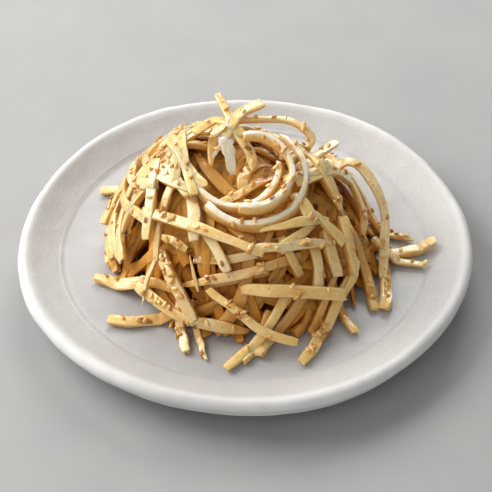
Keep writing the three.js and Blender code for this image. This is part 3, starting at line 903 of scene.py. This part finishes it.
def keep_foot_flat(dish):
    """The foot ring's face stays on the table, and the floor stays under the heap."""
    places = coordinates(dish)
    radius = np.hypot(places[:, 0], places[:, 1])
    on_foot = (places[:, 2] < 0.5 * MM) & (radius < (FOOT_OUTER_RADIUS + 1) * MM)
    places[on_foot, 2] = np.maximum(places[on_foot, 2], 0)
    places[on_foot & (places[:, 2] < 0.25 * MM), 2] = 0
    places[:, 2] = np.maximum(places[:, 2], 0)
    on_floor = (places[:, 2] > (FLOOR_HEIGHT - 1) * MM) & (radius < (FLOOR_RADIUS - 2) * MM)
    places[on_floor, 2] = np.clip(places[on_floor, 2], None, (FLOOR_HEIGHT + 0.15) * MM)
    put_coordinates(dish, places)


# Heap
def scatter_row(dice, radius, angle, half_low, half_high, swing):
    """A shred's row for a spot of the heap, laid mostly round it."""
    middle_x = HEAP_X + radius * math.cos(angle)
    middle_y = HEAP_Y + radius * math.sin(angle)
    half = dice.between(half_low, half_high)
    turn = angle + math.pi / 2 + dice.between(-swing, swing)
    reach_x = half * math.cos(turn)
    reach_y = half * math.sin(turn)
    far = math.hypot(middle_x, middle_y)
    outward = max(abs(middle_x * reach_x + middle_y * reach_y) / max(far, 1), 0.01)
    kept = min(1.0, (COVER_REACH - far) / outward)
    reach_x *= kept
    reach_y *= kept
    bow = -dice.between(1, 7)
    width = dice.between(3.4, 4.6)
    lifts = (dice.between(0, 1.5), dice.between(0, 1.5))
    ends = (middle_x - reach_x, middle_y - reach_y, middle_x + reach_x, middle_y + reach_y)
    return (*ends, bow, width, *lifts)


def lowest_spot(dice, field, angles=(-0.1, math.pi + 0.1), shares=(0.35, 0.86)):
    """The lowest of a few random spots within the given angles and shares of the heap's radius."""
    tries = []
    for _ in range(SCATTER_TRIES):
        angle = dice.between(*angles)
        radius = HEAP_RADIUS * dice.between(*shares)
        x = np.array(HEAP_X + radius * math.cos(angle))
        y = np.array(HEAP_Y + radius * math.sin(angle))
        cell = field.cells(x, y)
        tries.append((float(field.heights[cell]), radius, angle))
    return min(tries)[1:]


def bed_shreds(material, pile):
    """The tangle under the shreds that are seen one by one."""
    dice = Dice(BED_RUN)
    field = Field(-CORE_DEPTH + LAYER_DEPTH + 1.0, BED_LOOSE_HEIGHT, BED_CROWDED_HEIGHT)
    shreds = Shreds(dice, BED_SIDES)
    for _ in range(BED_SHREDS):
        radius, angle = lowest_spot(dice, field, (0, 2 * math.pi), (0.0, 0.8))
        row = scatter_row(dice, radius, angle, 8, 17, 1.5)
        laid = lay_shred(field, row[:6], sag=BED_SAG)
        laid["height"] = laid["height"] + dice.between(-1.4, 0.8)
        line, ups = lie_over(laid, BED_STATION)
        shreds.add(line, ups, laid["width"], laid["thickness"], twist=dice.between(-0.9, 0.9))
    return shreds.piece("bed_shreds", material, pile)


def seen_shreds(material):
    """The shreds that the eye picks out, laid in order, with the hoops and the raised ones on top."""
    dice = Dice(SEEN_RUN)
    field = Field(-0.1, LOOSE_HEIGHT, CROWDED_HEIGHT)
    shreds = Shreds(Dice(FORM_RUN), SHRED_SIDES)
    groups = [FLOOR_SHREDS, MIDDLE_SHREDS, FRONT_SHREDS, RIGHT_SHREDS, LEFT_SHREDS, SHOULDER_SHREDS]
    rows = [row for group in groups for row in group]
    for row in rows:
        place_shred(shreds, lay_shred(field, row))
    for _ in range(COVER_SHREDS):
        radius, angle = lowest_spot(dice, field)
        row = scatter_row(dice, radius, angle, 13, 24, 1.1)
        place_shred(shreds, lay_shred(field, row))
    for centre_x, centre_y, radius, start, end, height, depth in HOOPS:
        angles = np.radians(np.linspace(start, end, HOOP_POINTS))
        x = centre_x + radius * np.cos(angles)
        y = centre_y + radius * np.sin(angles)
        z = height + HOOP_RISE * (y - centre_y) - depth / 2
        ups = np.tile([0.0, 0.0, 1.0], (len(angles), 1))
        line = np.stack([x, y, z], axis=1)
        shreds.add(line, ups, HOOP_THICKNESS, depth, tint=0.45, lit_top_tint=0.0, whole=True)
    for width, thickness, *places in RAISED_SHREDS:
        line = through(np.array(places, float), RAISED_POINTS)
        ups = np.tile([0.0, 0.0, 1.0], (len(line), 1))
        shreds.add(line, ups, width, thickness, whole=True)
    for width, thickness, *places in PALE_FLAKES:
        line = through(np.array(places, float), FLAKE_POINTS)
        ups = np.tile([0.25, -0.5, 0.8], (len(line), 1))
        shreds.add(line, ups, width, thickness, tint=0.0, blunt=False, whole=True)
    return shreds.piece("seen_shreds", material, field), shreds, field


def place_shred(shreds, laid):
    line, ups = lie_over(laid, SHRED_STATION)
    narrow = laid["width"] < 3
    flat = shreds.dice.between(0.75, 1.05)
    shreds.add(line, ups, laid["width"], laid["thickness"] * flat,
               twist=shreds.dice.between(-0.7, 0.7), blunt=not narrow)


def through(places, count):
    """A smooth line through a few places."""
    padded = np.concatenate([[2 * places[0] - places[1]], places, [2 * places[-1] - places[-2]]])
    line = []
    for i in range(1, len(padded) - 2):
        before, start, end, after = padded[i - 1:i + 3]
        for t in np.linspace(0, 1, count // (len(places) - 1), endpoint=False):
            line.append(0.5 * (2 * start + (end - before) * t
                               + (2 * before - 5 * start + 4 * end - after) * t**2
                               + (3 * start - before - 3 * end + after) * t**3))
    line.append(places[-1])
    return np.array(line)


def make_core(material):
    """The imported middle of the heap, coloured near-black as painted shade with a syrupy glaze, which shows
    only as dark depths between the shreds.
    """
    rings = CORE_RINGS
    sides = CORE_SIDES
    points = []
    faces = []
    for ring in range(rings + 1):
        share = CORE_SHARE * ring / rings
        for side in range(sides):
            angle = 2 * math.pi * side / sides
            x = HEAP_X + share * HEAP_RADIUS * math.cos(angle)
            y = HEAP_Y + share * HEAP_RADIUS * math.sin(angle)
            points.append((x, y))
    plan = np.array(points)
    places = over_core(plan[:, 0], plan[:, 1], np.full(len(plan), LAYER_DEPTH - CORE_DEPTH))
    base = FLOOR_HEIGHT + HEAP_GAP + 0.1
    places[:, 2] = np.maximum(places[:, 2], base + 0.5)
    for ring in range(rings):
        for side in range(sides):
            other = (side + 1) % sides
            low = ring * sides
            high = low + sides
            faces.append((low + side, low + other, high + other, high + side))
    outer = places[rings * sides:].copy()
    outer[:, 2] = base
    first = len(places)
    places = np.concatenate([places, outer])
    for side in range(sides):
        other = (side + 1) % sides
        faces.append((rings * sides + side, rings * sides + other, first + other, first + side))
    faces.append(tuple(first + side for side in range(sides)))
    core = mesh_piece("packed_middle", places, faces, material)
    close_up(core)
    return core


# Seeds and crumbs
def seed_shape(rings=7, sides=10):
    """A sesame seed along X: flat, round at one end and pointed at the other."""
    points = [(-0.5, 0, 0)]
    for ring in range(1, rings):
        angle = math.pi * ring / rings
        share = (1 - math.cos(angle)) / 2
        girth = math.sin(angle) ** 0.9 * (1 - 0.42 * share**1.5)
        for side in range(sides):
            turn = 2 * math.pi * side / sides
            points.append((share - 0.5, girth * math.cos(turn) / 2, girth * math.sin(turn) / 2))
    points.append((0.5, 0, 0))
    faces = []
    for side in range(sides):
        faces.append((0, 1 + (side + 1) % sides, 1 + side))
    for ring in range(rings - 2):
        for side in range(sides):
            other = (side + 1) % sides
            low = 1 + ring * sides
            high = low + sides
            faces.append((low + side, low + other, high + other, high + side))
    last = len(points) - 1
    low = 1 + (rings - 2) * sides
    for side in range(sides):
        faces.append((low + side, low + (side + 1) % sides, last))
    return np.array(points), faces


def exposed_spots(shreds, field):
    """Places along the seen shreds that lie open on the heap's face."""
    spots = []
    for number, shred in enumerate(shreds.lines):
        line = shred["line"]
        height = line[:, 2]
        rows, columns = field.cells(line[:, 0], line[:, 1])
        top = over_core(line[:, 0], line[:, 1], field.heights[rows, columns])[:, 2]
        open_here = height > top - OPEN_DEPTH
        for station in range(2, len(line) - 2):
            if open_here[station]:
                spots.append((number, station))
    return spots


def strew(dice, shreds, points, faces, chosen, sizes, lift, name, material):
    """Sets small things on the shreds at the chosen spots, as one mesh."""
    all_points = []
    all_faces = []
    tints = []
    count = 0
    for number, station in chosen:
        shred = shreds.lines[number]
        lean = dice.between(-1.0, 1.0)
        side = shred["side"][station]
        rise = shred["rise"][station]
        if rise[2] < 0:
            rise = -rise
        out = rise * math.cos(lean) + side * math.sin(lean)
        reach = 0.96 / max(abs(math.sin(lean)) / shred["half_width"][station],
                           math.cos(lean) / shred["half_thick"][station])
        centre = shred["line"][station] + out * (reach + lift)
        heading = dice.between(0, 2 * math.pi)
        tangent = shred["tangent"][station]
        ahead = tangent * math.cos(heading) + np.cross(out, tangent) * math.sin(heading)
        ahead = ahead + out * dice.between(-0.3, 0.3)
        ahead /= np.linalg.norm(ahead)
        beside = np.cross(out, ahead)
        beside /= np.linalg.norm(beside)
        above = np.cross(ahead, beside)
        size = dice.between(*sizes)
        placed = (points[:, :1] * ahead + points[:, 1:2] * beside + points[:, 2:] * above) * size + centre
        all_points.append(clear_of_dish(placed))
        all_faces += [tuple(index + count for index in face) for face in faces]
        tints.append(np.full(len(points), dice.roll()))
        count += len(points)
    piece = mesh_piece(name, np.concatenate(all_points), all_faces, material)
    attribute = piece.data.attributes.new("tint", "FLOAT", "POINT")
    attribute.data.foreach_set("value", np.concatenate(tints).astype(np.float32))
    return piece


def choose_seed_spots(dice, shreds, spots):
    """Clusters round the places where seeds gather, and the rest spread over the whole heap."""
    plan = np.array([shreds.lines[number]["line"][station][:2] for number, station in spots])
    height = np.array([shreds.lines[number]["line"][station][2] for number, station in spots])
    chosen = []
    for x, y in SEED_PLACES:
        near = np.hypot(plan[:, 0] - x, plan[:, 1] - y)
        close = np.where(near < CLUSTER_RADIUS)[0]
        close = close[np.argsort(-height[close])][:CLUSTER_SPOTS]
        if len(close) == 0:
            continue
        for _ in range(CLUSTER_SEEDS):
            chosen.append(spots[close[int(dice.roll() * len(close))]])
    scattered = []
    for _ in range(SCATTERED_SEEDS):
        tries = [int(dice.roll() * len(spots)) for _ in range(SCATTER_CHOICES)]
        if scattered:
            gaps = [np.hypot(*(plan[scattered] - plan[spot]).T).min() for spot in tries]
            scattered.append(tries[int(np.argmax(gaps))])
        else:
            scattered.append(tries[0])
    return chosen + [spots[spot] for spot in scattered]


def make_toppings(shreds, field, seed_finish, crumb_finish):
    """The sesame seeds and the crumbs, each kind as one mesh."""
    dice = Dice(TOPPING_RUN)
    spots = exposed_spots(shreds, field)
    points, faces = seed_shape()
    seed_points = points * np.array([SEED_LENGTH, SEED_WIDTH, SEED_THICKNESS])
    chosen = choose_seed_spots(dice, shreds, spots)
    lift = SEED_THICKNESS * 0.42
    seeds = strew(dice, shreds, seed_points, faces, chosen, SEED_SIZES, lift, "sesame_seeds", seed_finish)
    crumb_points, crumb_faces = seed_shape(4, 5)
    crumb_points = crumb_points * np.array(CRUMB)
    chosen = [spots[int(dice.roll() * len(spots))] for _ in range(CRUMBS)]
    crumbs = strew(dice, shreds, crumb_points, crumb_faces, chosen, CRUMB_SIZES, 0.05,
                   "pepper_crumbs", crumb_finish)
    return seeds, crumbs


# Studio
def make_studio():
    """A plain pale floor, three soft lamps and a faint even light from all round."""
    bpy.ops.mesh.primitive_plane_add(size=FLOOR_SIZE, location=(0, 0, 0))
    floor = bpy.context.object
    floor.name = "studio_floor"
    floor.data.materials.append(pale_floor())
    lamp("window_light", (-0.78, 0.36, 0.62), 0.8, 14.3, (1.0, 0.98, 0.955))
    lamp("back_sheen", (0.1, 0.95, 0.7), 0.6, 7.0, (1.0, 0.99, 0.97))
    lamp("front_fill", (-0.45, -0.85, 0.7), 1.0, 3.5, (1.0, 0.985, 0.97))
    world = bpy.data.worlds.new("studio_air")
    world.use_nodes = True
    air = world.node_tree.nodes["Background"]
    air.inputs["Color"].default_value = (1.0, 0.98, 0.96, 1)
    air.inputs["Strength"].default_value = AIR_STRENGTH
    bpy.context.scene.world = world
    bpy.context.scene.view_settings.view_transform = "Standard"


def lamp(name, place, size, power, colour):
    """A soft square light that points at the middle of the heap."""
    data = bpy.data.lights.new(name, "AREA")
    data.size = size
    data.energy = power
    data.color = colour
    light = bpy.data.objects.new(name, data)
    light.location = place
    aim = Vector((0, 0, 0.03)) - Vector(place)
    light.rotation_mode = "QUATERNION"
    light.rotation_quaternion = aim.to_track_quat("-Z", "Y")
    bpy.context.scene.collection.objects.link(light)


def make_camera():
    data = bpy.data.cameras.new("photo_camera")
    data.lens = CAMERA_LENS
    data.sensor_width = CAMERA_SENSOR
    camera = bpy.data.objects.new("photo_camera", data)
    down = math.radians(LOOK_DOWN)
    camera.location = (
        CAMERA_X * MM,
        (CAMERA_Y - CAMERA_DISTANCE * math.cos(down)) * MM,
        (LIP_HEIGHT + CAMERA_DISTANCE * math.sin(down)) * MM,
    )
    camera.rotation_euler = (math.pi / 2 - down, 0, 0)
    bpy.context.scene.collection.objects.link(camera)
    bpy.context.scene.camera = camera


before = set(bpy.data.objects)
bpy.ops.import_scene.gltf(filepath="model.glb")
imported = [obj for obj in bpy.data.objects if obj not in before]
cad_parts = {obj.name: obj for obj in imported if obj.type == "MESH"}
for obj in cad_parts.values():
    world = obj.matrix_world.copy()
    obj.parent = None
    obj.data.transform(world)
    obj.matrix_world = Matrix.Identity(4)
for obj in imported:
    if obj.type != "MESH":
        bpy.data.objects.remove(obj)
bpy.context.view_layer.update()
make_camera()

fish = candied_fish("candied_fish", 0.75, 0.5, 0.4)
# A duller copy of the fish for the bed: no coat, little shine and faint edge glints, as painted shade deep in
# the pile.
shaded_bed_fish = candied_fish("shaded_bed_fish", 0.0, 0.12, 0.1)
dish = make_dish(glazed_stoneware())
core = make_core(syrup_and_shade_depths())
seen, laid_shreds, laid_field = seen_shreds(fish)
bed = bed_shreds(shaded_bed_fish, laid_field)
seeds, crumbs = make_toppings(laid_shreds, laid_field, toasted_sesame(), ground_pepper())

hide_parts("dish")
for piece in (seen, bed, core, seeds, crumbs):
    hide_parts("shreds_heap")
for piece in (dish, seen, bed, core, seeds, crumbs):
    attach(piece, "root")

make_studio()
